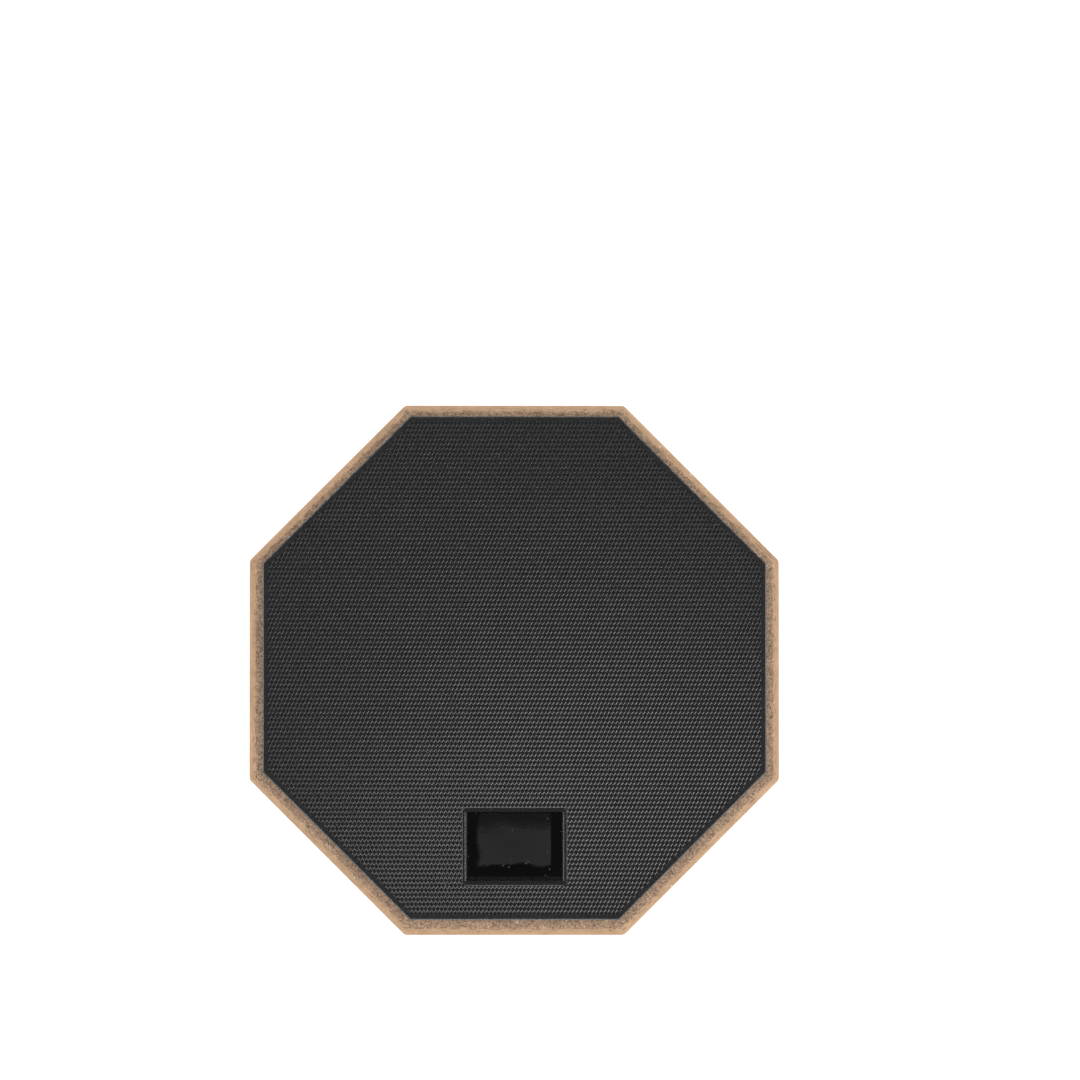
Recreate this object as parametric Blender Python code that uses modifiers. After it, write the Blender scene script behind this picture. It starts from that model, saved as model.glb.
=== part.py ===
"""Octagonal drum practice pad: a fibreboard slab with a moulded rubber playing sheet glued on its front, a
non-slip sheet on its back, and a threaded socket in the middle of its back for a stand.

Metres, +Z up. The pad lies flat with its playing side up. The origin is under the middle of the board, on
the surface that the pad lies on. The window for the badge is near the -Y edge, the player's side.
"""

import math

import bmesh
import bpy
from mathutils import Matrix, Vector

OBJECT_NAME = "practice_pad"
SIDES = 8

# The board.
BOARD_ACROSS = 0.305  # between opposite flats, a 12 inch pad
BOARD_THICK = 0.015
BOARD_CHAMFER = 0.0035  # width and height of the front edge's chamfer
BOARD_EASE = 0.0008  # the small chamfer round the back edge
BOARD_CORNER_RADIUS = 0.0025
CORNER_STEPS = 3

# The rubber sheet on the front.
PAD_BORDER = 0.0077  # the strip of board that shows round the sheet
PAD_THICK = 0.006
PAD_EDGE_RADIUS = 0.0006
PAD_SHIFT_Y = 0.0011  # the sheet is glued on by hand, this far above the board's middle

# The window in the sheet, and the badge plate that lies in it.
WINDOW_WIDTH = 0.0549
WINDOW_HEIGHT = 0.0394
WINDOW_DEPTH = 0.003
WINDOW_TO_EDGE = 0.0225  # from the window's lower side to the sheet's edge
WINDOW_CORNER_RADIUS = 0.0008
BADGE_THICK = 0.0012
BADGE_LEDGE = 0.0019  # the strip of the window's floor that shows below the plate
BADGE_CORNER_RADIUS = 0.0005

# The sheet on the back.
BACKING_INSET = 0.005  # from the board's flats
BACKING_THICK = 0.003
BACKING_HOLE_DIAMETER = 0.06

# The stand's socket and its screws. The stud is an M8.
THREAD_MINOR_DIAMETER = 0.00665
BARREL_DIAMETER = 0.012
BARREL_LENGTH = 0.01
FLANGE_DIAMETER = 0.042
FLANGE_THICK = 0.0025
FLANGE_EDGE = 0.0004
BORE_LEAD_IN = 0.0008
SCREW_COUNT = 3
SCREW_CIRCLE_DIAMETER = 0.03
SCREW_LENGTH = 0.0125
SCREW_HEAD_DIAMETER = 0.007
SCREW_SHANK_DIAMETER = 0.0035
SCREW_HEAD_FLAT = 0.0002  # the straight rim of the 90 degree countersunk head
SCREW_TIP = 0.003
ROUND_STEPS = 48
SCREW_STEPS = 24

GAP = 0.0003  # between pieces that touch

# Heights of the layers, from the surface that the pad lies on.
BOARD_LOW = BACKING_THICK + GAP
BOARD_HIGH = BOARD_LOW + BOARD_THICK
PAD_LOW = BOARD_HIGH + GAP
PAD_HIGH = PAD_LOW + PAD_THICK
WINDOW_FLOOR = PAD_HIGH - WINDOW_DEPTH
FLANGE_HIGH = BOARD_LOW - GAP
FLANGE_LOW = FLANGE_HIGH - FLANGE_THICK

PAD_ACROSS = BOARD_ACROSS - 2 * PAD_BORDER
BACKING_ACROSS = BOARD_ACROSS - 2 * BACKING_INSET
WINDOW_Y = PAD_SHIFT_Y - PAD_ACROSS / 2 + WINDOW_TO_EDGE + WINDOW_HEIGHT / 2

CUTTERS = "cutters"


def clear_scene():
    for obj in list(bpy.data.objects):
        bpy.data.objects.remove(obj)


def make_collection(name):
    collection = bpy.data.collections.new(name)
    bpy.context.scene.collection.children.link(collection)
    return collection


def make_material(name, colour, roughness, metallic=0.0):
    material = bpy.data.materials.new(name)
    material.use_nodes = True
    shader = material.node_tree.nodes["Principled BSDF"]
    shader.inputs["Base Color"].default_value = (*colour, 1.0)
    shader.inputs["Roughness"].default_value = roughness
    shader.inputs["Metallic"].default_value = metallic
    return material


def make_object(name, bm, material=None):
    """A new object from a bmesh: a part if it has a material, and otherwise a cutter."""
    bmesh.ops.recalc_face_normals(bm, faces=bm.faces[:])
    mesh = bpy.data.meshes.new(name)
    bm.to_mesh(mesh)
    bm.free()
    obj = bpy.data.objects.new(name, mesh)
    if material:
        mesh.materials.append(material)
        bpy.data.collections[OBJECT_NAME].objects.link(obj)
    else:
        obj.hide_render = True
        obj.display_type = "WIRE"
        bpy.data.collections[CUTTERS].objects.link(obj)
    return obj


def smooth(obj, angle=30):
    obj.data.shade_smooth()
    obj.data.set_sharp_from_angle(angle=math.radians(angle))


def cut(obj, cutter):
    modifier = obj.modifiers.new(cutter.name, "BOOLEAN")
    modifier.operation = "DIFFERENCE"
    modifier.object = cutter


def octagon(across, low, high, centre_y=0.0):
    """A bmesh of an upright octagonal prism with its flats facing +X, +Y, -X and -Y."""
    bm = bmesh.new()
    radius = across / 2 / math.cos(math.pi / SIDES)
    place = Matrix.Translation((0, centre_y, (low + high) / 2))
    turn = Matrix.Rotation(math.pi / SIDES, 4, "Z")
    bmesh.ops.create_cone(
        bm,
        cap_ends=True,
        segments=SIDES,
        radius1=radius,
        radius2=radius,
        depth=high - low,
        matrix=place @ turn,
    )
    return bm


def cylinder(diameter, low, high, steps=ROUND_STEPS, centre=(0.0, 0.0), high_diameter=None):
    """A bmesh of an upright cylinder, or of a cone if its upper diameter is given."""
    bm = bmesh.new()
    bmesh.ops.create_cone(
        bm,
        cap_ends=True,
        segments=steps,
        radius1=diameter / 2,
        radius2=(high_diameter or diameter) / 2,
        depth=high - low,
        matrix=Matrix.Translation((centre[0], centre[1], (low + high) / 2)),
    )
    return bm


def rounded_box(width, height, low, high, centre_y, radius):
    """A bmesh of a box with its four upright edges rounded."""
    bm = bmesh.new()
    place = Matrix.Translation((0, centre_y, (low + high) / 2))
    bmesh.ops.create_cube(bm, size=1, matrix=place @ Matrix.Diagonal((width, height, high - low, 1)))
    upright = [edge for edge in bm.edges if is_upright(edge)]
    bevel(bm, upright, radius, CORNER_STEPS)
    return bm


def is_upright(edge):
    low, high = edge.verts
    return abs(high.co.z - low.co.z) > max(abs(high.co.x - low.co.x), abs(high.co.y - low.co.y))


def is_level(edge):
    low, high = edge.verts
    return abs(high.co.z - low.co.z) < 1e-6


def edges_at(bm, height):
    """The edges that lie in the level plane at that height."""
    return [edge for edge in bm.edges if all(abs(vert.co.z - height) < 1e-6 for vert in edge.verts)]


def bevel(bm, edges, width, steps=1):
    bmesh.ops.bevel(bm, geom=edges, offset=width, segments=steps, profile=0.5, affect="EDGES")


def screw_places():
    """The centres of the flange's screws, the first one towards +Y."""
    for i in range(SCREW_COUNT):
        yield Matrix.Rotation(2 * math.pi * i / SCREW_COUNT, 2) @ Vector((0, SCREW_CIRCLE_DIAMETER / 2))


def turned(name, profile, steps, material):
    """A solid of revolution about Z: the profile's (radius, height) points run down its outer side."""
    bm = bmesh.new()
    verts = [bm.verts.new((radius, 0, height)) for radius, height in profile]
    for upper, lower in zip(verts, verts[1:]):
        bm.edges.new((upper, lower))
    mesh = bpy.data.meshes.new(name)
    bm.to_mesh(mesh)
    bm.free()
    mesh.materials.append(material)
    obj = bpy.data.objects.new(name, mesh)
    bpy.data.collections[OBJECT_NAME].objects.link(obj)
    spin = obj.modifiers.new("turn", "SCREW")
    spin.steps = steps
    spin.render_steps = steps
    spin.use_merge_vertices = True
    spin.merge_threshold = 0.00001
    return obj


def make_screw_holes():
    """For each screw, the cutters of its shank's hole and of its countersunk head's seat."""
    past = FLANGE_LOW - GAP
    shank = SCREW_SHANK_DIAMETER / 2 + GAP
    head = SCREW_HEAD_DIAMETER / 2 + SCREW_HEAD_FLAT + GAP * (1 + math.sqrt(2))
    cutters = []
    for number, place in enumerate(screw_places(), 1):
        hole = cylinder(2 * shank, past, FLANGE_LOW + SCREW_LENGTH + GAP, SCREW_STEPS, place)
        cutters.append(make_object(f"screw_hole_{number}", hole))
        seat = cylinder(2 * head, past, past + head - shank, SCREW_STEPS, place, 2 * shank)
        cutters.append(make_object(f"screw_seat_{number}", seat))
    return cutters


def make_base_board(screw_holes):
    """The slab, with a blind hole for the socket's barrel and pilot holes for its screws."""
    bm = octagon(BOARD_ACROSS, BOARD_LOW, BOARD_HIGH)
    bevel(bm, edges_at(bm, BOARD_HIGH), BOARD_CHAMFER)
    bevel(bm, edges_at(bm, BOARD_LOW), BOARD_EASE)
    corners = [edge for edge in bm.edges if not is_level(edge)]
    bevel(bm, corners, BOARD_CORNER_RADIUS * math.tan(math.pi / SIDES), CORNER_STEPS)
    board = make_object("base_board", bm, make_material("fibreboard", (0.42, 0.27, 0.16), 0.85))

    hole_top = FLANGE_HIGH + BARREL_LENGTH + GAP
    barrel_hole = cylinder(BARREL_DIAMETER + 2 * GAP, BOARD_LOW - GAP, hole_top)
    cut(board, make_object("barrel_hole", barrel_hole))
    for cutter in screw_holes:
        cut(board, cutter)


def make_playing_pad():
    """The rubber sheet, with the window's recess."""
    bm = octagon(PAD_ACROSS, PAD_LOW, PAD_HIGH, PAD_SHIFT_Y)
    bevel(bm, edges_at(bm, PAD_HIGH), PAD_EDGE_RADIUS, 2)
    pad = make_object("playing_pad", bm, make_material("pad_rubber", (0.035, 0.035, 0.037), 0.55))
    window = rounded_box(
        WINDOW_WIDTH, WINDOW_HEIGHT, WINDOW_FLOOR, PAD_HIGH + GAP, WINDOW_Y, WINDOW_CORNER_RADIUS
    )
    cut(pad, make_object("window", window))


def make_badge_plate():
    """The blank plate on the window's floor, against the window's upper side."""
    bm = rounded_box(
        WINDOW_WIDTH - 2 * GAP,
        WINDOW_HEIGHT - GAP - BADGE_LEDGE,
        WINDOW_FLOOR + GAP,
        WINDOW_FLOOR + GAP + BADGE_THICK,
        WINDOW_Y + (BADGE_LEDGE - GAP) / 2,
        BADGE_CORNER_RADIUS,
    )
    make_object("badge_plate", bm, make_material("badge_gloss", (0.01, 0.01, 0.011), 0.2))


def make_grip_backing():
    """The back sheet, with a hole that clears the socket's flange and the stand's washer."""
    bm = octagon(BACKING_ACROSS, 0, BACKING_THICK)
    foam = make_material("backing_foam", (0.03, 0.03, 0.032), 0.9)
    backing = make_object("grip_backing", bm, foam)
    hole = cylinder(BACKING_HOLE_DIAMETER, -GAP, BACKING_THICK + GAP)
    cut(backing, make_object("backing_hole", hole))


def make_stand_socket(steel, screw_holes):
    """The flange and barrel as one turned piece, with countersunk holes for the screws."""
    bore = THREAD_MINOR_DIAMETER / 2
    barrel = BARREL_DIAMETER / 2
    flange = FLANGE_DIAMETER / 2
    top = FLANGE_HIGH + BARREL_LENGTH
    profile = [
        (bore, top),
        (barrel - FLANGE_EDGE, top),
        (barrel, top - FLANGE_EDGE),
        (barrel, FLANGE_HIGH),
        (flange, FLANGE_HIGH),
        (flange, FLANGE_LOW + FLANGE_EDGE),
        (flange - FLANGE_EDGE, FLANGE_LOW),
        (bore + BORE_LEAD_IN, FLANGE_LOW),
        (bore, FLANGE_LOW + BORE_LEAD_IN),
        (bore, top),
    ]
    socket = turned("stand_socket", profile, ROUND_STEPS, steel)
    smooth(socket)
    for cutter in screw_holes:
        cut(socket, cutter)


def make_socket_screws(steel):
    """The countersunk wood screws, heads down and flush with the flange's face."""
    head, shank = SCREW_HEAD_DIAMETER / 2, SCREW_SHANK_DIAMETER / 2
    tip = FLANGE_LOW + SCREW_LENGTH
    neck = FLANGE_LOW + SCREW_HEAD_FLAT + head - shank
    profile = [
        (0, tip),
        (shank, tip - SCREW_TIP),
        (shank, neck),
        (head, FLANGE_LOW + SCREW_HEAD_FLAT),
        (head, FLANGE_LOW),
        (0, FLANGE_LOW),
    ]
    for number, (x, y) in enumerate(screw_places(), 1):
        screw = turned(f"socket_screw_{number}", profile, SCREW_STEPS, steel)
        screw.location = (x, y, 0)
        smooth(screw)


def main():
    clear_scene()
    make_collection(OBJECT_NAME)
    make_collection(CUTTERS)
    screw_holes = make_screw_holes()
    make_base_board(screw_holes)
    make_playing_pad()
    make_badge_plate()
    make_grip_backing()
    make_stand_socket(make_material("socket_steel", (0.6, 0.6, 0.62), 0.35, 1.0), screw_holes)
    make_socket_screws(make_material("screw_steel", (0.55, 0.55, 0.56), 0.3, 1.0))


main()
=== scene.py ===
"""Looks of the octagonal practice pad: a routed fibreboard slab with a moulded rubber playing sheet,
a blank badge plate in the sheet's window, a foam grip sheet underneath and a threaded stand socket
with its screws.

Metres, in the same frame as the solids. Each piece is built around its solid's box.
"""

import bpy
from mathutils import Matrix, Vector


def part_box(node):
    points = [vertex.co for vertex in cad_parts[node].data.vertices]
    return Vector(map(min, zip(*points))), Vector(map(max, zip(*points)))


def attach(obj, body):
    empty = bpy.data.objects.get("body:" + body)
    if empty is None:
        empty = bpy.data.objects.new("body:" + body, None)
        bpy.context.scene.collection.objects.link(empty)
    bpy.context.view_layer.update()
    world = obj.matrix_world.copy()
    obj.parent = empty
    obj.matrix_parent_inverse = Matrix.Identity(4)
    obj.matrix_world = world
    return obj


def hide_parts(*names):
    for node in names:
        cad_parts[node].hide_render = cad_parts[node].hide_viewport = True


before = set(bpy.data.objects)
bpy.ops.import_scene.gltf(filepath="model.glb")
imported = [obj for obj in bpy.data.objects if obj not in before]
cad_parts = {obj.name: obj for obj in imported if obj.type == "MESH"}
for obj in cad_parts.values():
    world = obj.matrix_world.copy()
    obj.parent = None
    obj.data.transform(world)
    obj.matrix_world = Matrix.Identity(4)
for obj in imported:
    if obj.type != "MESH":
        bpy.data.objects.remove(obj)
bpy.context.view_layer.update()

import math

import bmesh
import bpy
from mathutils import Matrix, Vector

SIDES = 8
BODY = "root"
GAP = 0.0003  # between pieces that touch
MERGE = 0.000001  # points nearer than this are one
ON_PLANE = 0.0000001  # points this near a cutting plane lie on it
ROUND_TURNS = (30, 60, 90)  # where a quarter round has its points, in degrees

# The board, as routed.
CHAMFER = 0.0035
BACK_EASE = 0.0008  # the small chamfer round the back edge
CORNER_RADIUS = 0.0025
CORNER_STEPS = 6
ARRIS = 0.00035  # the sanded round on the board's edges

# The rubber sheet: a raised net of long hexagons inside a smooth border.
CELL_WIDTH = 0.00227
ROW_PITCH = 0.00271
CELL_POINT = 0.0016  # the height of a cell's slanted end
CELL_DEPTH = 0.00021
CELL_WALL = 0.0004  # how wide a cell's sloping wall is, seen from above
SHEET_BORDER = 0.003
SHEET_EDGE = 0.0006

# The smooth frame round the sheet's window.
RIM_SIDE = 0.00275
RIM_CORNER = 0.0016
RIM_STEP = 0.0002  # its drop from the net
RIM_SLOPE = 0.0002  # how wide the slope down to it is
RIM_LEFT = 0.0014  # the soft round of its left, right and end edges
RIM_RIGHT = 0.0005
RIM_END = 0.0002
RIM_DROP = 0.0014  # how deep the round goes
RIM_TURNS = (0, 22, 45, 68, 90)  # where the round has its points, in degrees
WINDOW_DEPTH = 0.003
WINDOW_LEDGE = 0.0019  # the floor that shows below the badge plate

# The badge plate.
BADGE_CORNER = 0.0004
BADGE_EDGE = 0.0002

# The grip sheet under the board.
FOAM_HOLE = 0.03  # radius
FOAM_EDGE = 0.0005

# The stand socket, an M8 insert with a flange. Its widths are radii.
FLANGE_THICK = 0.0025
FLANGE_EDGE = 0.0004
BARREL = 0.006
THREAD_MINOR = 0.003325
THREAD_MAJOR = 0.004
THREAD_PITCH = 0.00125
THREAD_STEPS = 32
THREAD_MERGE = 0.000005
# One turn of the thread: each point's radius, and how far along the pitch it is.
THREAD_PROFILE = [
    (THREAD_MINOR, 0),
    (THREAD_MINOR, 0.25),
    (THREAD_MAJOR, 0.5625),
    (THREAD_MAJOR, 0.6875),
    (THREAD_MINOR, 1),
]
LEAD_IN = 0.0008
SEAT = 0.00385
SHANK_HOLE = 0.00205

# Its countersunk screws. Their widths are radii too.
SCREW_SHANK = 0.00175
SCREW_CORE = 0.0012
SCREW_PITCH = 0.0014
SCREW_RIM = 0.0002
SCREW_POINT = 0.0001
SCREW_TAPER = 3  # turns of the thread that narrow to the point
CROSS_ARM = 0.0019
CROSS_HALF = 0.00042
CROSS_DEPTH = 0.0012
CROSS_TAPER = 0.55  # the recess's size at its bottom
RING_STEPS = 64
SCREW_STEPS = 32

# Colours.
SKIN_DARK = (0.1, 0.06, 0.038, 1)
SKIN_LIGHT = (0.71, 0.475, 0.31, 1)
PATCH_DARK = (0.86, 0.86, 0.86, 1)
PATCH_LIGHT = (1.1, 1.1, 1.1, 1)
CUT_DARK = (0.29, 0.175, 0.088, 1)
CUT_LIGHT = (0.53, 0.334, 0.194, 1)
BARK = (0.09, 0.055, 0.04, 1)
SAWDUST = (0.7, 0.72, 0.74, 1)
RUBBER_DARK = (0.012, 0.012, 0.012, 1)
RUBBER_LIGHT = (0.0195, 0.0195, 0.0195, 1)
# painted shade: the colour of the dimples' floors, darker than the net's top
CELL_PAINTED_SHADE = (0.0075, 0.0075, 0.0075, 1)
GLOSS_BLACK = (0.0022, 0.0022, 0.0024, 1)
FIELD_DARK = (0.006, 0.006, 0.006, 1)
FIELD_LIGHT = (0.014, 0.014, 0.014, 1)
FOAM_DARK = (0.012, 0.012, 0.013, 1)
FOAM_LIGHT = (0.024, 0.024, 0.026, 1)
# painted shade: the colour inside the foam's pores
PORE_SHADE = (0.004, 0.004, 0.004, 1)
ZINC_DARK = (0.42, 0.43, 0.45, 1)
ZINC_LIGHT = (0.6, 0.61, 0.63, 1)
DUST = (0.1, 0.1, 0.095, 1)

# The dull field on the badge: where each side fades in, as shares of the plate from its middle.
FIELD_LEFT = (-0.41, -0.34)
FIELD_RIGHT = (0.378, 0.39)
FIELD_BOTTOM = (-0.33, -0.28)
FIELD_TOP = (0.45, 0.15)
FIELD_TOP_SHADE = 0.35  # what is left of it above that

# Lights: azimuth, distance, height, size and watts.
KEY_LIGHT = (-36, 0.83, 0.5, 0.27, 1.25)
FILL_LIGHT = (-136, 0.47, 0.26, 0.13, 0.12)
# The walls' light by height: a low band, darker above, a ring of lamps, and dark straight overhead.
WALL_LIGHT = [(0.0, 0.6), (0.22, 0.6), (0.3, 0.015), (0.78, 0.015), (0.8, 1.0), (0.86, 1.0), (0.89, 0.004)]
WALL_STRENGTH = 4.75
FLOOR_GLOW = 0.5
FLOOR_HALF = 6

CAMERA_LENS = 200
CAMERA_SENSOR = 36
CAMERA_SHARE = 0.4905  # of the picture's width, filled by the board
CAMERA_LEAN = (-0.6, -1.2)  # degrees off straight down, to the side and towards the player
CAMERA_SHIFT = (0.0236, 0.1204)


# -------------------------------------------------------------------------------------------- mesh


def finish_piece(name, bm, nodes, material):
    """Makes the object, hangs it on the body, and hides the solids that it stands for."""
    mesh = bpy.data.meshes.new(name)
    bm.to_mesh(mesh)
    bm.free()
    mesh.materials.append(material)
    piece = bpy.data.objects.new(name, mesh)
    bpy.context.scene.collection.objects.link(piece)
    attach(piece, BODY)
    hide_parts(*nodes)
    return piece


def smooth(bm, angle=30):
    """Smooth shading, with the edges that turn by more than the angle left sharp."""
    for face in bm.faces:
        face.smooth = True
    for edge in bm.edges:
        edge.smooth = edge.calc_face_angle(0) < math.radians(angle)


def bevel(bm, edges, width, steps):
    bmesh.ops.bevel(bm, geom=edges, offset=width, segments=steps, profile=0.5, affect="EDGES", material=-1)


def everything(bm):
    return bm.verts[:] + bm.edges[:] + bm.faces[:]


def once(parts):
    """Each part once, in the order that they come in."""
    return list(dict.fromkeys(parts))


def verts_of(geometry):
    return [g for g in geometry if isinstance(g, bmesh.types.BMVert)]


def copy_moved(bm, offset):
    """Copies the whole mesh, with the copy moved by an offset."""
    copy = bmesh.ops.duplicate(bm, geom=everything(bm))["geom"]
    bmesh.ops.translate(bm, verts=verts_of(copy), vec=offset)


def merge(bm, distance=MERGE):
    bmesh.ops.remove_doubles(bm, verts=bm.verts[:], dist=distance)


def cut_off(bm, point, normal):
    """Cuts the mesh with a plane and takes away what lies past it."""
    bmesh.ops.bisect_plane(
        bm, geom=everything(bm), plane_co=point, plane_no=normal, clear_outer=True, dist=ON_PLANE
    )


def set_height(verts, height):
    for vert in verts:
        vert.co.z = height


def octagon(across, low, high):
    """An upright octagonal prism round the Z axis, with flats facing +X, +Y, -X and -Y."""
    bm = bmesh.new()
    radius = across / 2 / math.cos(math.pi / SIDES)
    place = Matrix.Translation((0, 0, (low + high) / 2))
    place = place @ Matrix.Rotation(math.pi / SIDES, 4, "Z")
    bmesh.ops.create_cone(
        bm, cap_ends=True, segments=SIDES, radius1=radius, radius2=radius, depth=high - low, matrix=place
    )
    return bm


def edges_at(bm, height):
    return [e for e in bm.edges if all(abs(v.co.z - height) < MERGE for v in e.verts)]


def is_level(edge):
    return abs(edge.verts[0].co.z - edge.verts[1].co.z) < MERGE


def open_edges(bm):
    return [e for e in bm.edges if e.is_boundary]


def extrude_loop(bm, edges):
    """Extrudes an open loop of edges, and gives the new verts and edges."""
    made = bmesh.ops.extrude_edge_only(bm, edges=edges)["geom"]
    return verts_of(made), [g for g in made if isinstance(g, bmesh.types.BMEdge)]


def is_near(vert, centre, reach):
    return abs(vert.co.x - centre.x) < reach[0] and abs(vert.co.y - centre.y) < reach[1]


def scale_about(verts, centre, across, along):
    """Scales level places about a centre, by one share in X and one in Y."""
    for vert in verts:
        vert.co.x = centre[0] + (vert.co.x - centre[0]) * across
        vert.co.y = centre[1] + (vert.co.y - centre[1]) * along


def ring(bm, radius, height, steps=RING_STEPS, centre=(0, 0)):
    """An open circle of edges."""
    place = Matrix.Translation((*centre, height))
    made = bmesh.ops.create_circle(bm, segments=steps, radius=radius, matrix=place)
    return once(e for v in made["verts"] for e in v.link_edges)


def turn(bm, edges, profile, centre=(0, 0)):
    """Carries a ring on through a turned profile's radii and heights, and gives the last ring."""
    centre = Vector(centre)
    for radius, height in profile:
        verts, edges = extrude_loop(bm, edges)
        for vert in verts:
            vert.co.xy = centre + (vert.co.xy - centre).normalized() * radius
        set_height(verts, height)
    return edges


def rounded(radius, reach, height, up=1):
    """The profile of a quarter round that ends at this reach: up is 1 or -1, the way its height goes."""
    for turned in ROUND_TURNS:
        angle = math.radians(turned)
        yield reach - radius + radius * math.sin(angle), height + up * radius * (1 - math.cos(angle))


def close_flat(bm, edges):
    """Fills the flat between rings."""
    bmesh.ops.triangle_fill(bm, edges=edges, use_beauty=True)


def drill(bm, face, holes):
    """Blind holes in a flat face: each has a centre, a radius and the height that it goes to."""
    edges = list(face.edges)
    height = face.calc_center_median().z
    bmesh.ops.delete(bm, geom=[face], context="FACES_ONLY")
    for centre, radius, end in holes:
        rim = ring(bm, radius, height, SCREW_STEPS, centre)
        edges += rim
        close_flat(bm, turn(bm, rim, [(radius, end)], centre))
    close_flat(bm, edges)


# ------------------------------------------------------------------------------------ rubber sheet


def hexagon_cell():
    """One dimple of the net, its points towards +Y and -Y, with the net's ridge along its outline."""
    bm = bmesh.new()
    made = bmesh.ops.create_circle(bm, cap_ends=True, segments=6, radius=1)["verts"]
    side = (ROW_PITCH - CELL_POINT) / 2
    for vert in made:
        x, y = vert.co.x, vert.co.y
        is_point = abs(x) < abs(y) / 2
        vert.co.x = 0 if is_point else math.copysign(CELL_WIDTH / 2, x)
        vert.co.y = math.copysign(side + CELL_POINT if is_point else side, y)
    bmesh.ops.inset_region(
        bm,
        faces=bm.faces[:],
        thickness=CELL_WALL,
        depth=-CELL_DEPTH,
        use_boundary=True,
        use_even_offset=True,
    )
    return bm


def repeat(bm, step, count):
    """Doubles the mesh along a step until there are at least count of it, and gives how many there are."""
    made = 1
    while made < count:
        copy_moved(bm, [part * made for part in step])
        made *= 2
    return made


def net_of_cells(width, height):
    """The net over a rectangle round the origin, its ridges at height 0."""
    bm = hexagon_cell()
    columns = repeat(bm, (CELL_WIDTH, 0, 0), width / CELL_WIDTH + 2)
    merge(bm)
    # The next row is half a cell to the side, and the row after goes back again.
    copy_moved(bm, (CELL_WIDTH / 2, ROW_PITCH, 0))
    rows = 2 * repeat(bm, (0, 2 * ROW_PITCH, 0), height / ROW_PITCH / 2 + 1)
    merge(bm)
    middle = (-columns * CELL_WIDTH / 2, -rows * ROW_PITCH / 2, 0)
    bmesh.ops.translate(bm, verts=bm.verts[:], vec=middle)
    return bm


def cut_outside(bm, across):
    """Cuts the net to an octagon round the origin."""
    for i in range(SIDES):
        normal = Matrix.Rotation(2 * math.pi * i / SIDES, 3, "Z") @ Vector((1, 0, 0))
        cut_off(bm, normal * across / 2, normal)


def cut_frame_hole(bm, centre, width, height):
    """Cuts a hole with snipped corners out of the net, where the window's frame goes."""
    near = Vector((width, height)).length
    snip = (width / 2 + height / 2 - RIM_CORNER) / math.sqrt(2)
    slant = math.sqrt(0.5)
    planes = [((1, 0), width / 2), ((0, 1), height / 2), ((slant, slant), snip), ((slant, -slant), snip)]
    sides = [(Vector(n) * sign, reach) for n, reach in planes for sign in (1, -1)]
    for normal, reach in sides:
        faces = [f for f in bm.faces if (f.calc_center_median().xy - centre).length < near]
        edges = once(e for f in faces for e in f.edges)
        verts = once(v for f in faces for v in f.verts)
        point = centre + normal * reach
        bmesh.ops.bisect_plane(
            bm, geom=[*verts, *edges, *faces], plane_co=(*point, 0), plane_no=(*normal, 0), dist=ON_PLANE
        )

    def inside(face):
        place = face.calc_center_median().xy - centre
        return all(place.dot(normal) < reach for normal, reach in sides)

    bmesh.ops.delete(bm, geom=[f for f in bm.faces if inside(f)], context="FACES")


def raise_cut_sides(bm):
    """Closes the dimples that were cut through, with walls up to the net's height."""
    extrude_loop(bm, open_edges(bm))
    for edge in open_edges(bm):
        set_height(edge.verts, 0)
    merge(bm, 2 * MERGE)
    bmesh.ops.dissolve_degenerate(bm, edges=bm.edges[:], dist=2 * MERGE)


def window_place(centre):
    """The window's middle, from the sheet's centre, and its width and height."""
    low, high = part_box("badge_plate")
    width = high.x - low.x + 2 * GAP
    height = high.y - low.y + GAP + WINDOW_LEDGE
    return Vector((0, high.y + GAP - height / 2)) - centre, width, height


def edge_steps(reach, thick):
    """How far out and how far down each loop of the border and side lies."""
    yield reach - SHEET_EDGE, 0
    yield from rounded(SHEET_EDGE, reach, 0, -1)
    yield reach, -thick


def add_border(bm, edges, field, across, thick):
    """Carries the net's outline out to the rounded edge and down the side, and closes the back."""
    half = field / 2
    for reach, drop in edge_steps(across / 2, thick):
        verts, edges = extrude_loop(bm, edges)
        scale_about(verts, (0, 0), reach / half, reach / half)
        set_height(verts, drop)
        half = reach
    bmesh.ops.holes_fill(bm, edges=edges, sides=0)


def window_steps():
    """The share of the round that each loop lies outside the window's opening, and how far down it is."""
    for turned in RIM_TURNS:
        angle = math.radians(turned)
        yield 1 - math.sin(angle), -RIM_STEP - RIM_DROP * (1 - math.cos(angle))
    yield 0, -WINDOW_DEPTH


def add_window(bm, edges, window, width, height):
    """Carries the frame's outline in to its rounded inner edge and down the walls, and closes the floor."""
    half_width, half_height = width / 2, height / 2
    verts, edges = extrude_loop(bm, edges)
    scale_about(verts, window, 1 - RIM_SLOPE / half_width, 1 - RIM_SLOPE / half_height)
    set_height(verts, -RIM_STEP)
    for share, drop in window_steps():
        verts, edges = extrude_loop(bm, edges)
        left, right, end = (share * wide for wide in (RIM_LEFT, RIM_RIGHT, RIM_END))
        middle = window + Vector(((right - left) / 2, 0))
        fit_rectangle(verts, middle, half_width + (left + right) / 2, half_height + end)
        set_height(verts, drop)
    bmesh.ops.holes_fill(bm, edges=edges, sides=0)


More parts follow.
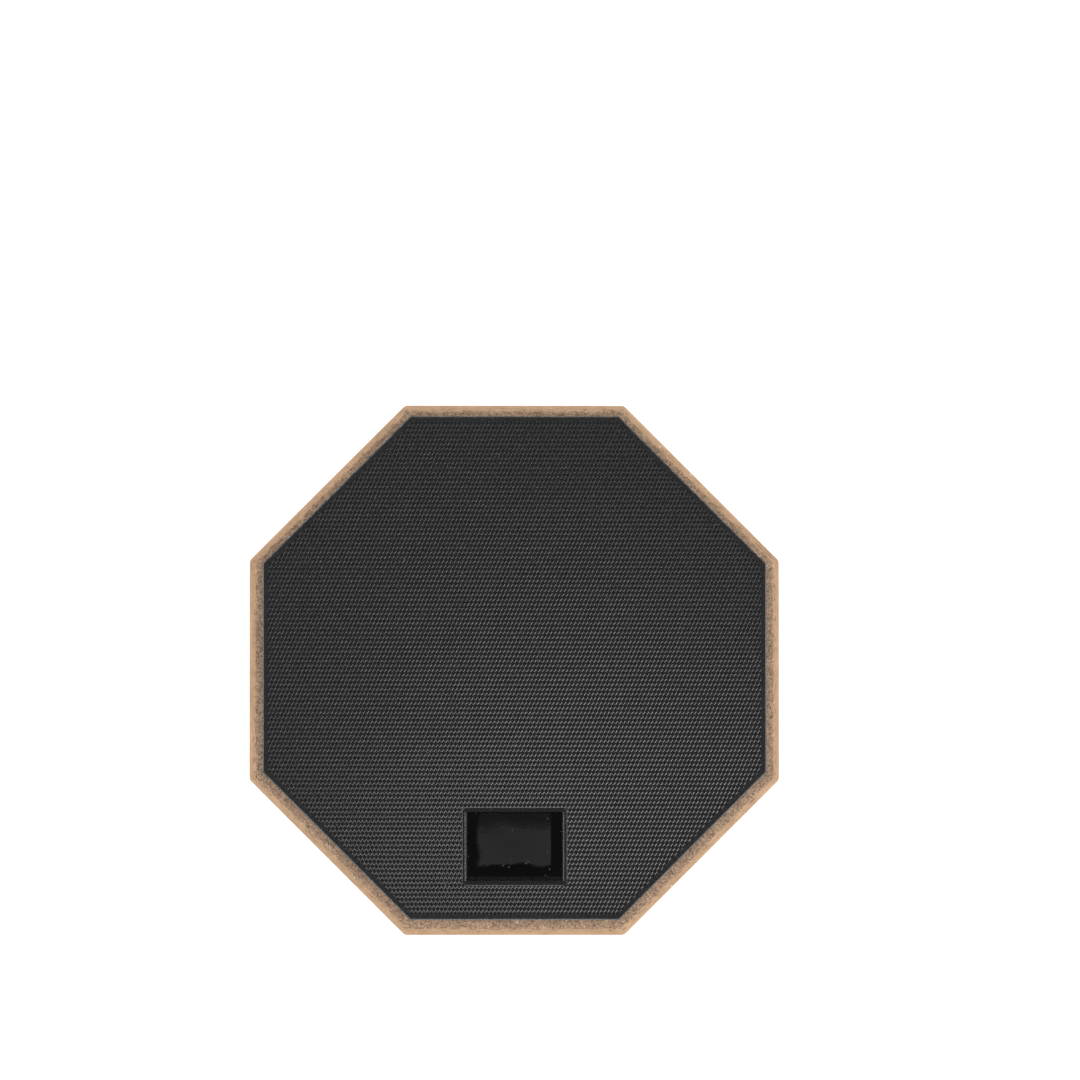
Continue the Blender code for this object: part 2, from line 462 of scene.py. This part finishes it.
def make_rubber_sheet(material):
    """The net with its border and window, made with its top at height 0 and then moved to its place."""
    low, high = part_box("playing_pad")
    low.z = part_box("base_board")[1].z
    centre = ((low + high) / 2).xy
    across = high.x - low.x
    field = across - 2 * SHEET_BORDER
    window, width, height = window_place(centre)

    bm = net_of_cells(field, field)
    cut_outside(bm, field)
    cut_frame_hole(bm, window, width + 2 * RIM_SIDE, height + 2 * RIM_SIDE)
    raise_cut_sides(bm)
    loose = open_edges(bm)
    reach = (width / 2 + RIM_SIDE + GAP, height / 2 + RIM_SIDE + GAP)
    inner = [e for e in loose if is_near(e.verts[0], window, reach)]
    outer = [e for e in loose if not is_near(e.verts[0], window, reach)]
    add_border(bm, outer, field, across, high.z - low.z)
    add_window(bm, inner, window, width, height)

    bmesh.ops.translate(bm, verts=bm.verts[:], vec=(*centre, high.z))
    bmesh.ops.recalc_face_normals(bm, faces=bm.faces[:])
    bmesh.ops.triangulate(bm, faces=[f for f in bm.faces if len(f.verts) > 4])
    smooth(bm)
    keep_net_sharp(bm, high.z)
    return finish_piece("moulded_rubber", bm, ["playing_pad"], material)


def keep_net_sharp(bm, top):
    """Leaves the dimples' walls flat: no edge from their floors up to the net's top is smoothed."""
    for edge in bm.edges:
        levels = [round((top - v.co.z) / CELL_DEPTH, 2) for v in edge.verts]
        is_flat = edge.calc_face_angle(0) < math.radians(5)
        if all(level in (0, 1) for level in levels) and not is_flat:
            edge.smooth = False


def fit_rectangle(verts, centre, half_width, half_height):
    """Spreads a loop round a rectangle, with a vertex at each corner."""
    places = [Vector(((v.co.x - centre.x) / half_width, (v.co.y - centre.y) / half_height)) for v in verts]
    for place in places:
        place /= max(abs(place.x), abs(place.y))
    for corner in ((1, 1), (-1, 1), (-1, -1), (1, -1)):
        nearest = min(places, key=lambda place: (place - Vector(corner)).length)
        nearest.xy = corner
    for vert, place in zip(verts, places):
        vert.co.xy = centre.x + place.x * half_width, centre.y + place.y * half_height


# ------------------------------------------------------------------------------------ other pieces


def screw_boxes():
    """The screws' solids: name, axis, and lowest and highest corner."""
    for name in sorted(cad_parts):
        if name.startswith("socket_screw_"):
            low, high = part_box(name)
            yield name, ((low + high) / 2).xy, low, high


def make_board(material):
    low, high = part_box("base_board")
    bm = octagon(high.x - low.x, low.z, high.z)
    bevel(bm, edges_at(bm, high.z), CHAMFER, 1)
    bevel(bm, edges_at(bm, low.z), BACK_EASE, 1)
    corners = [e for e in bm.edges if not is_level(e)]
    bevel(bm, corners, CORNER_RADIUS * math.tan(math.pi / SIDES), CORNER_STEPS)
    fit = high.x / max(v.co.x for v in bm.verts)
    scale_about(bm.verts, (0, 0), fit, fit)
    bevel(bm, edges_at(bm, high.z) + edges_at(bm, high.z - CHAMFER), ARRIS, 2)
    # The skin shows on the level faces, cut fibre on the sides and the chamfer, and both on the rounds.
    is_cut = bm.faces.layers.float.new("cut")
    for face in bm.faces:
        face[is_cut] = min(1, 4 * (1 - abs(face.normal.z)))
    back = min(bm.faces, key=lambda face: face.calc_center_median().z)
    barrel_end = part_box("stand_socket")[1].z + GAP
    holes = [((0, 0), BARREL + GAP, barrel_end)]
    holes += [(axis, SHANK_HOLE, top.z + GAP) for _, axis, _, top in screw_boxes()]
    drill(bm, back, holes)
    bmesh.ops.recalc_face_normals(bm, faces=bm.faces[:])
    smooth(bm)
    return finish_piece("routed_board", bm, ["base_board"], material)


def make_badge(material):
    low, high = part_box("badge_plate")
    bm = bmesh.new()
    place = Matrix.Translation((low + high) / 2) @ Matrix.Diagonal((*(high - low), 1))
    bmesh.ops.create_cube(bm, size=1, matrix=place)
    bevel(bm, [e for e in bm.edges if not is_level(e)], BADGE_CORNER, 4)
    bevel(bm, edges_at(bm, high.z), BADGE_EDGE, 3)
    smooth(bm)
    return finish_piece("blank_badge", bm, ["badge_plate"], material)


def make_grip_sheet(material):
    """The foam sheet on the back, with a round hole for the socket and the stand's washer."""
    low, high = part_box("grip_backing")
    across = high.x - low.x
    bm = octagon(across - 2 * FOAM_EDGE, low.z, high.z)
    bmesh.ops.delete(bm, geom=[v for v in bm.verts if v.co.z > low.z + GAP], context="VERTS")
    bmesh.ops.delete(bm, geom=bm.faces[:], context="FACES_ONLY")
    outline = bm.edges[:]
    hole = ring(bm, FOAM_HOLE + FOAM_EDGE, low.z)
    close_flat(bm, outline + hole)
    reach = across / 2 - FOAM_EDGE
    side = outline
    for wider, height in [*rounded(FOAM_EDGE, across / 2, low.z), (across / 2, high.z)]:
        verts, side = extrude_loop(bm, side)
        scale_about(verts, (0, 0), wider / reach, wider / reach)
        set_height(verts, height)
        reach = wider
    inside = [(2 * FOAM_HOLE - wide, height) for wide, height in rounded(FOAM_EDGE, FOAM_HOLE, low.z)]
    hole = turn(bm, hole, [*inside, (FOAM_HOLE, high.z)])
    close_flat(bm, side + hole)
    bmesh.ops.recalc_face_normals(bm, faces=bm.faces[:])
    smooth(bm)
    piece = finish_piece("grip_foam", bm, ["grip_backing"], material)
    return piece


def tap_bore(bm, low, high):
    """A bore with a helical thread. Gives its rings at the lower and the upper end."""
    start = low - 2 * THREAD_PITCH
    turns = math.ceil((high - start) / THREAD_PITCH) + 1
    verts = [bm.verts.new((radius, 0, start + part * THREAD_PITCH)) for radius, part in THREAD_PROFILE]
    edges = [bm.edges.new(pair) for pair in zip(verts, verts[1:])]
    bmesh.ops.spin(
        bm,
        geom=verts + edges,
        cent=(0, 0, 0),
        axis=(0, 0, 1),
        dvec=(0, 0, THREAD_PITCH / THREAD_STEPS),
        angle=2 * math.pi * turns,
        steps=turns * THREAD_STEPS,
        use_merge=False,
    )
    merge(bm, THREAD_MERGE)
    for height, way in ((low, -1), (high, 1)):
        cut_off(bm, (0, 0, height), (0, 0, way))
    middle = (low + high) / 2
    loose = open_edges(bm)
    return [e for e in loose if e.verts[0].co.z < middle], [e for e in loose if e.verts[0].co.z > middle]


def make_socket(material):
    """The threaded bore, its barrel and the flange with its countersunk holes."""
    low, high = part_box("stand_socket")
    flange, shoulder = (high.x - low.x) / 2, low.z + FLANGE_THICK
    bm = bmesh.new()
    bore_low, bore_high = tap_bore(bm, low.z + LEAD_IN, high.z)
    face = turn(bm, bore_low, [(THREAD_MINOR + LEAD_IN, low.z)])
    back = ring(bm, BARREL, shoulder)
    barrel = [(BARREL, high.z - FLANGE_EDGE), (BARREL - FLANGE_EDGE, high.z)]
    close_flat(bm, bore_high + turn(bm, back, barrel))

    outline = ring(bm, flange - FLANGE_EDGE, low.z)
    face += outline
    side = [*rounded(FLANGE_EDGE, flange, low.z), (flange, shoulder - FLANGE_EDGE / 2)]
    back += turn(bm, outline, [*side, (flange - FLANGE_EDGE / 2, shoulder)])
    for _, axis, _, _ in screw_boxes():
        seat = ring(bm, SEAT, low.z, SCREW_STEPS, axis)
        face += seat
        hole = [(SHANK_HOLE, low.z + SEAT - SHANK_HOLE), (SHANK_HOLE, shoulder)]
        back += turn(bm, seat, hole, axis)
    close_flat(bm, face)
    close_flat(bm, back)
    bmesh.ops.recalc_face_normals(bm, faces=bm.faces[:])
    smooth(bm)
    return finish_piece("threaded_socket", bm, ["stand_socket"], material)


def cross_outline(bm, height, axis):
    """The outline of a screw's cross recess."""
    place = Matrix.Translation((*axis, height)) @ Matrix.Rotation(math.pi / 4, 4, "Z")
    square = bmesh.ops.create_circle(
        bm, cap_ends=True, segments=4, radius=CROSS_HALF * math.sqrt(2), matrix=place
    )["verts"]
    for edge in once(e for v in square for e in v.link_edges):
        middle = (edge.verts[0].co + edge.verts[1].co) / 2
        way = (middle.xy - axis).normalized()
        verts, _ = extrude_loop(bm, [edge])
        bmesh.ops.translate(bm, verts=verts, vec=(*way * (CROSS_ARM - CROSS_HALF), 0))
    inner = [e for e in bm.edges if len(e.link_faces) == 2]
    bmesh.ops.delete(bm, geom=inner, context="EDGES")
    return bm.edges[:]


def make_screw(name, axis, low, high, material):
    """A countersunk wood screw that points up, with a cross recess in its head."""
    head = (high.x - low.x) / 2
    bm = bmesh.new()
    outline = cross_outline(bm, low.z, axis)
    verts, end = extrude_loop(bm, outline)
    scale_about(verts, axis, CROSS_TAPER, CROSS_TAPER)
    set_height(verts, low.z + CROSS_DEPTH)
    close_flat(bm, end)
    rim = ring(bm, head - SCREW_RIM / 2, low.z, SCREW_STEPS, axis)
    close_flat(bm, outline + rim)

    neck = low.z + SCREW_RIM + head - SCREW_SHANK
    body = [(head, low.z + SCREW_RIM / 2), (head, low.z + SCREW_RIM), (SCREW_SHANK, neck)]
    thread = neck + SCREW_PITCH
    while thread + SCREW_PITCH < high.z:
        taper = min(1, (high.z - thread) / (SCREW_TAPER * SCREW_PITCH))
        body += [(SCREW_CORE * taper, thread), (SCREW_SHANK * taper, thread + SCREW_PITCH / 3)]
        thread += SCREW_PITCH * 2 / 3
    body += [(SCREW_POINT, high.z)]
    close_flat(bm, turn(bm, rim, body, axis))
    bmesh.ops.recalc_face_normals(bm, faces=bm.faces[:])
    smooth(bm)
    return finish_piece("cross_" + name, bm, [name], material)


# ----------------------------------------------------------------------------------- shader groups


def add(tree, kind, inputs=None, **settings):
    """Adds a node. An input is another node's output, or a plain value."""
    node = tree.nodes.new("ShaderNode" + kind)
    for name, value in settings.items():
        setattr(node, name, value)
    for name, value in (inputs or {}).items():
        if isinstance(value, bpy.types.NodeSocket):
            tree.links.new(value, node.inputs[name])
        else:
            node.inputs[name].default_value = value
    return node


def blend(tree, share, first, second):
    """A colour between two. The mix node's colour sockets are the seventh and the eighth."""
    return add(tree, "Mix", {0: share, 6: first, 7: second}, data_type="RGBA").outputs[2]


def span(tree, value, start, end, low=0.0, high=1.0, soft=False):
    """Where a value lies from start to end, as a number from low to high."""
    inputs = {"Value": value, "From Min": start, "From Max": end, "To Min": low, "To Max": high}
    kind = "SMOOTHSTEP" if soft else "LINEAR"
    return add(tree, "MapRange", inputs, interpolation_type=kind).outputs["Result"]


def math_of(tree, operation, first, second):
    """One step of arithmetic."""
    return add(tree, "Math", {0: first, 1: second}, operation=operation).outputs[0]


def new_group(name, inputs, outputs):
    """A node group with named sockets. Gives its tree, its inputs and its outputs."""
    tree = bpy.data.node_groups.new(name, "ShaderNodeTree")
    for title, kind, value in inputs:
        socket = tree.interface.new_socket(name=title, in_out="INPUT", socket_type="NodeSocket" + kind)
        if value is not None:
            socket.default_value = value
    for title, kind in outputs:
        tree.interface.new_socket(name=title, in_out="OUTPUT", socket_type="NodeSocket" + kind)
    taken = tree.nodes.new("NodeGroupInput").outputs
    given = tree.nodes.new("NodeGroupOutput").inputs
    return tree, taken, given


def use_group(tree, group, inputs):
    """Places a group with its own values, and gives its outputs."""
    return add(tree, "Group", inputs, node_tree=group).outputs


def product(tree, first, second):
    """Two vectors or colours, multiplied part by part."""
    return add(tree, "VectorMath", {0: first, 1: second}, operation="MULTIPLY").outputs[0]


def make_mottle():
    """Uneven colour, from broad patches to fine fibres by its scale."""
    inputs = [("Vector", "Vector", None), ("Scale", "Float", 100.0), ("Detail", "Float", 3.0)]
    inputs += [("Dark", "Color", (0.1, 0.1, 0.1, 1)), ("Light", "Color", (0.2, 0.2, 0.2, 1))]
    tree, taken, given = new_group("mottle", inputs, [("Color", "Color"), ("Value", "Float")])
    noise = add(
        tree,
        "TexNoise",
        {"Vector": taken["Vector"], "Scale": taken["Scale"], "Detail": taken["Detail"], "Roughness": 0.6},
    )
    value = span(tree, noise.outputs["Fac"], 0.3, 0.7)
    tree.links.new(blend(tree, value, taken["Dark"], taken["Light"]), given["Color"])
    tree.links.new(value, given["Value"])
    return tree


def make_specks():
    """Scattered specks of dust or fibre: amount is the share of the grid's places that hold one."""
    inputs = [("Vector", "Vector", None), ("Scale", "Float", 300.0)]
    inputs += [("Amount", "Float", 0.05), ("Size", "Float", 0.2)]
    tree, taken, given = new_group("specks", inputs, [("Mask", "Float")])
    cells = add(tree, "TexVoronoi", {"Vector": taken["Vector"], "Scale": taken["Scale"]})
    chance = add(tree, "SeparateColor", {"Color": cells.outputs["Color"]})
    chosen = math_of(tree, "LESS_THAN", chance.outputs["Red"], taken["Amount"])
    edge = math_of(tree, "MULTIPLY", taken["Size"], chance.outputs["Green"])
    near = math_of(tree, "DIVIDE", cells.outputs["Distance"], edge)
    spot = span(tree, near, 0.6, 1.2, 1, 0, soft=True)
    tree.links.new(math_of(tree, "MULTIPLY", chosen, spot), given["Mask"])
    return tree


def make_streaks():
    """Long fine lines: the vector's third part runs across them."""
    inputs = [("Vector", "Vector", None), ("Along", "Float", 30.0), ("Across", "Float", 2500.0)]
    tree, taken, given = new_group("streaks", inputs, [("Value", "Float")])
    scale = add(tree, "CombineXYZ", {"X": taken["Along"], "Y": taken["Along"], "Z": taken["Across"]})
    place = product(tree, taken["Vector"], scale.outputs[0])
    noise = add(tree, "TexNoise", {"Vector": place, "Scale": 1.0, "Detail": 4.0, "Roughness": 0.65})
    tree.links.new(span(tree, noise.outputs["Fac"], 0.3, 0.7), given["Value"])
    return tree


# --------------------------------------------------------------------------------------- materials


def new_material(name, metallic=0.0):
    """A material. Gives it with its tree and the piece's own coordinates."""
    material = bpy.data.materials.new(name)
    material.use_nodes = True
    tree = material.node_tree
    tree.nodes["Principled BSDF"].inputs["Metallic"].default_value = metallic
    return material, tree, add(tree, "TexCoord").outputs["Object"]


def connect(tree, colour, roughness, height, distance, strength):
    """Feeds the shader, with a bump from the height: how deep it goes in metres, and how strong it is."""
    shader = tree.nodes["Principled BSDF"]
    tree.links.new(colour, shader.inputs["Base Color"])
    tree.links.new(roughness, shader.inputs["Roughness"])
    bump = add(tree, "Bump", {"Height": height, "Distance": distance, "Strength": strength})
    tree.links.new(bump.outputs["Normal"], shader.inputs["Normal"])


def make_fibreboard(groups, top):
    """Pressed wood fibre: a dull speckled skin on its faces, and paler layered fibre where it is cut."""
    material, tree, place = new_material("pressed_fibreboard")
    is_cut = add(tree, "Attribute", attribute_name="cut").outputs["Fac"]
    skin = use_group(
        tree,
        groups["mottle"],
        {"Vector": place, "Scale": 950.0, "Detail": 4.0, "Dark": SKIN_DARK, "Light": SKIN_LIGHT},
    )
    fibre = use_group(
        tree, groups["mottle"], {"Vector": place, "Scale": 1100.0, "Dark": CUT_DARK, "Light": CUT_LIGHT}
    )
    layers = use_group(tree, groups["streaks"], {"Vector": place, "Along": 45.0, "Across": 2200.0})
    cut = blend(tree, layers["Value"], fibre["Color"], CUT_LIGHT)
    patches = use_group(
        tree, groups["mottle"], {"Vector": place, "Scale": 120.0, "Dark": PATCH_DARK, "Light": PATCH_LIGHT}
    )
    colour = product(tree, blend(tree, is_cut, skin["Color"], cut), patches["Color"])

    # The router tears small chips out of the chamfer near the face.
    height = add(tree, "SeparateXYZ", {"Vector": place}).outputs["Z"]
    near_face = span(tree, height, top - CHAMFER * 0.6, top - CHAMFER * 0.3)
    near_face = math_of(tree, "MULTIPLY", near_face, is_cut)
    torn = use_group(tree, groups["streaks"], {"Vector": place, "Along": 260.0, "Across": 1300.0})
    chips = math_of(tree, "MULTIPLY", span(tree, torn["Value"], 0.6, 0.75), near_face)
    colour = blend(tree, math_of(tree, "MULTIPLY", chips, 0.7), colour, SKIN_DARK)

    # Bark shows mostly in the skin, and sawdust lies everywhere.
    bark = use_group(tree, groups["specks"], {"Vector": place, "Scale": 700.0, "Amount": 0.2, "Size": 0.5})
    shown = math_of(tree, "MULTIPLY", bark["Mask"], span(tree, is_cut, 0, 1, 0.8, 0.15))
    colour = blend(tree, shown, colour, BARK)
    pale = use_group(tree, groups["specks"], {"Vector": place, "Scale": 620.0, "Amount": 0.02, "Size": 0.4})
    colour = blend(tree, math_of(tree, "MULTIPLY", pale["Mask"], 0.8), colour, SAWDUST)
    rough = math_of(tree, "ADD", skin["Value"], layers["Value"])
    connect(tree, colour, span(tree, skin["Value"], 0, 1, 0.7, 0.85), rough, 0.00006, 0.6)
    return material


def make_rubber(groups, top):
    """Moulded black rubber with a little dust, paler on the net's top than in its cells, where painted
    shade darkens it.
    """
    material, tree, place = new_material("moulded_rubber")
    height = add(tree, "SeparateXYZ", {"Vector": place}).outputs["Z"]
    raised = span(tree, height, top - CELL_DEPTH, top - CELL_DEPTH * 0.7)
    uneven = use_group(
        tree,
        groups["mottle"],
        {"Vector": place, "Scale": 260.0, "Dark": RUBBER_DARK, "Light": RUBBER_LIGHT},
    )
    # Painted shade: the cells below the net's top are coloured darker than the ridges.
    colour = blend(tree, raised, CELL_PAINTED_SHADE, uneven["Color"])
    dust = use_group(tree, groups["specks"], {"Vector": place, "Scale": 300.0, "Amount": 0.02, "Size": 0.2})
    colour = blend(tree, dust["Mask"], colour, DUST)
    fine = use_group(tree, groups["mottle"], {"Vector": place, "Scale": 900.0, "Detail": 2.0})
    polish = span(tree, raised, 0, 1, 0.24, 0.25)
    roughness = math_of(tree, "ADD", polish, span(tree, fine["Value"], 0, 1, -0.02, 0.04))
    tree.nodes["Principled BSDF"].inputs["Specular IOR Level"].default_value = 1.0
    connect(tree, colour, roughness, fine["Value"], 0.00004, 0.5)
    return material


def printed_field(tree, groups, place, worn):
    """Where the badge's dull field lies. Its right side is straight, and the others are worn."""
    low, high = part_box("badge_plate")
    size = high - low
    centred = add(tree, "Mapping", {"Vector": place, "Location": -(low + high) / 2}).outputs[0]
    shares = product(tree, centred, (1 / size.x, 1 / size.y, 1 / size.z))
    share = add(tree, "SeparateXYZ", {"Vector": shares}).outputs
    ragged = use_group(tree, groups["mottle"], {"Vector": place, "Scale": 420.0, "Detail": 3.0})
    uneven = math_of(tree, "ADD", worn, math_of(tree, "MULTIPLY", ragged["Value"], 0.3))

    def worn_place(along, least, most):
        return math_of(tree, "ADD", share[along], span(tree, uneven, 0, 1.3, least, most))

    left = span(tree, worn_place("X", -0.03, 0.05), *FIELD_LEFT, soft=True)
    right = span(tree, share["X"], *FIELD_RIGHT, 1, 0, soft=True)
    bottom = span(tree, worn_place("Y", -0.09, 0.09), *FIELD_BOTTOM, soft=True)
    top = span(tree, worn_place("Y", -0.12, 0.12), *FIELD_TOP, FIELD_TOP_SHADE, 1, soft=True)
    across = math_of(tree, "MULTIPLY", left, right)
    return math_of(tree, "MULTIPLY", across, math_of(tree, "MULTIPLY", bottom, top))


def make_badge_gloss(groups):
    """A glossy black plate with a duller blank field printed on it, and a little dust."""
    material, tree, place = new_material("blank_gloss")
    worn = use_group(tree, groups["mottle"], {"Vector": place, "Scale": 45.0, "Detail": 2.0})
    field = printed_field(tree, groups, place, worn["Value"])
    grain = use_group(
        tree, groups["mottle"], {"Vector": place, "Scale": 1500.0, "Dark": FIELD_DARK, "Light": FIELD_LIGHT}
    )
    colour = blend(tree, field, GLOSS_BLACK, grain["Color"])
    dust = use_group(tree, groups["specks"], {"Vector": place, "Scale": 900.0, "Amount": 0.03, "Size": 0.4})
    colour = blend(tree, dust["Mask"], colour, DUST)
    dull = span(tree, field, 0, 1, 0.16, 0.3)
    roughness = math_of(tree, "MAXIMUM", dull, span(tree, dust["Mask"], 0, 1, 0, 0.8))
    connect(tree, colour, roughness, worn["Value"], 0.00002, 0.3)
    return material


def make_foam(groups):
    """Black closed-cell foam with fine pores, darkened by painted shade in their hollows."""
    material, tree, place = new_material("closed_cell_foam")
    cells = add(tree, "TexVoronoi", {"Vector": place, "Scale": 1500.0}).outputs["Distance"]
    uneven = use_group(
        tree, groups["mottle"], {"Vector": place, "Scale": 90.0, "Dark": FOAM_DARK, "Light": FOAM_LIGHT}
    )
    pores = use_group(
        tree, groups["specks"], {"Vector": place, "Scale": 1100.0, "Amount": 0.35, "Size": 0.55}
    )
    # Painted shade: the pores are coloured darker than the foam round them.
    colour = blend(tree, pores["Mask"], uneven["Color"], PORE_SHADE)
    lint = use_group(
        tree, groups["specks"], {"Vector": place, "Scale": 200.0, "Amount": 0.02, "Size": 0.12}
    )
    colour = blend(tree, lint["Mask"], colour, DUST)
    height = math_of(tree, "SUBTRACT", cells, pores["Mask"])
    connect(tree, colour, span(tree, uneven["Value"], 0, 1, 0.82, 0.95), height, 0.00015, 0.7)
    return material


def make_zinc(groups, name, turned):
    """Bright zinc plate, with the lathe's rings on a turned piece."""
    material, tree, place = new_material(name, metallic=1.0)
    plate = use_group(
        tree, groups["mottle"], {"Vector": place, "Scale": 350.0, "Dark": ZINC_DARK, "Light": ZINC_LIGHT}
    )
    fine = use_group(tree, groups["mottle"], {"Vector": place, "Scale": 2500.0})
    height = fine["Value"]
    if turned:
        level = product(tree, place, (1, 1, 0))
        radius = add(tree, "VectorMath", {0: level}, operation="LENGTH").outputs["Value"]
        across = add(tree, "CombineXYZ", {"Z": radius})
        lines = {"Vector": across.outputs[0], "Along": 0.0, "Across": 4500.0}
        rings = use_group(tree, groups["streaks"], lines)
        height = math_of(tree, "ADD", math_of(tree, "MULTIPLY", fine["Value"], 0.3), rings["Value"])
    roughness = span(tree, plate["Value"], 0, 1, 0.36, 0.24)
    connect(tree, plate["Color"], roughness, height, 0.00002, 0.4)
    return material


# --------------------------------------------------------------------------------- floor and light


def make_floor():
    """A plain white floor that glows a little, so that it stays white."""
    bm = bmesh.new()
    bmesh.ops.create_grid(bm, x_segments=1, y_segments=1, size=FLOOR_HALF)
    mesh = bpy.data.meshes.new("floor")
    bm.to_mesh(mesh)
    bm.free()
    material = bpy.data.materials.new("white_floor")
    material.use_nodes = True
    shader = material.node_tree.nodes["Principled BSDF"]
    shader.inputs["Base Color"].default_value = (0.9, 0.9, 0.9, 1)
    shader.inputs["Roughness"].default_value = 0.9
    shader.inputs["Specular IOR Level"].default_value = 0.1
    shader.inputs["Emission Color"].default_value = (1, 1, 1, 1)
    shader.inputs["Emission Strength"].default_value = FLOOR_GLOW
    mesh.materials.append(material)
    floor = bpy.data.objects.new("floor", mesh)
    bpy.context.scene.collection.objects.link(floor)


def make_light(name, azimuth, distance, height, size, power):
    """A square lamp that faces the pad."""
    light = bpy.data.lights.new(name, "AREA")
    light.size = size
    light.energy = power
    lamp = bpy.data.objects.new(name, light)
    angle = math.radians(azimuth)
    place = Vector((distance * math.cos(angle), distance * math.sin(angle), height))
    lamp.location = place
    lamp.rotation_euler = (-place).to_track_quat("-Z", "Y").to_euler()
    bpy.context.scene.collection.objects.link(lamp)


def make_world():
    """A studio: bright low walls, dark ones above them, a ring of lamps, and dark straight overhead."""
    world = bpy.data.worlds.new("studio")
    world.use_nodes = True
    tree = world.node_tree
    height = add(tree, "SeparateXYZ", {"Vector": add(tree, "TexCoord").outputs["Generated"]}).outputs["Z"]
    ramp = add(tree, "ValToRGB", {"Fac": height})
    stops = ramp.color_ramp.elements
    stops[0].position, stops[1].position = WALL_LIGHT[0][0], WALL_LIGHT[-1][0]
    for position, _ in WALL_LIGHT[1:-1]:
        stops.new(position)
    for stop, (_, light) in zip(stops, WALL_LIGHT):
        stop.color = (light, light, light, 1)
    tree.links.new(ramp.outputs["Color"], tree.nodes["Background"].inputs["Color"])
    tree.nodes["Background"].inputs["Strength"].default_value = WALL_STRENGTH
    bpy.context.scene.world = world


def make_camera(target, across):
    """Looks down on the pad, which fills about half of the picture's width, below its middle."""
    camera = bpy.data.cameras.new("camera")
    camera.lens, camera.sensor_width = CAMERA_LENS, CAMERA_SENSOR
    camera.shift_x, camera.shift_y = CAMERA_SHIFT
    distance = across / CAMERA_SHARE * camera.lens / camera.sensor_width
    back = Vector((*(math.sin(math.radians(lean)) for lean in CAMERA_LEAN), 1)).normalized()
    eye = bpy.data.objects.new("camera", camera)
    eye.location = target + back * distance
    across_picture = Vector((0, 1, 0)).cross(back).normalized()
    up_picture = back.cross(across_picture)
    eye.rotation_euler = Matrix((across_picture, up_picture, back)).transposed().to_euler()
    bpy.context.scene.collection.objects.link(eye)
    bpy.context.scene.camera = eye


def main():
    groups = {"mottle": make_mottle(), "specks": make_specks(), "streaks": make_streaks()}
    make_board(make_fibreboard(groups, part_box("base_board")[1].z))
    make_rubber_sheet(make_rubber(groups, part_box("playing_pad")[1].z))
    make_badge(make_badge_gloss(groups))
    make_grip_sheet(make_foam(groups))
    make_socket(make_zinc(groups, "turned_zinc", True))
    screw_zinc = make_zinc(groups, "pressed_zinc", False)
    for name, axis, low, high in screw_boxes():
        make_screw(name, axis, low, high, screw_zinc)

    make_floor()
    board_low, board_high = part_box("base_board")
    make_camera(Vector((0, 0, board_high.z)), board_high.x - board_low.x)
    make_world()
    make_light("key", *KEY_LIGHT)
    make_light("fill", *FILL_LIGHT)
    bpy.context.scene.view_settings.view_transform = "Standard"


main()
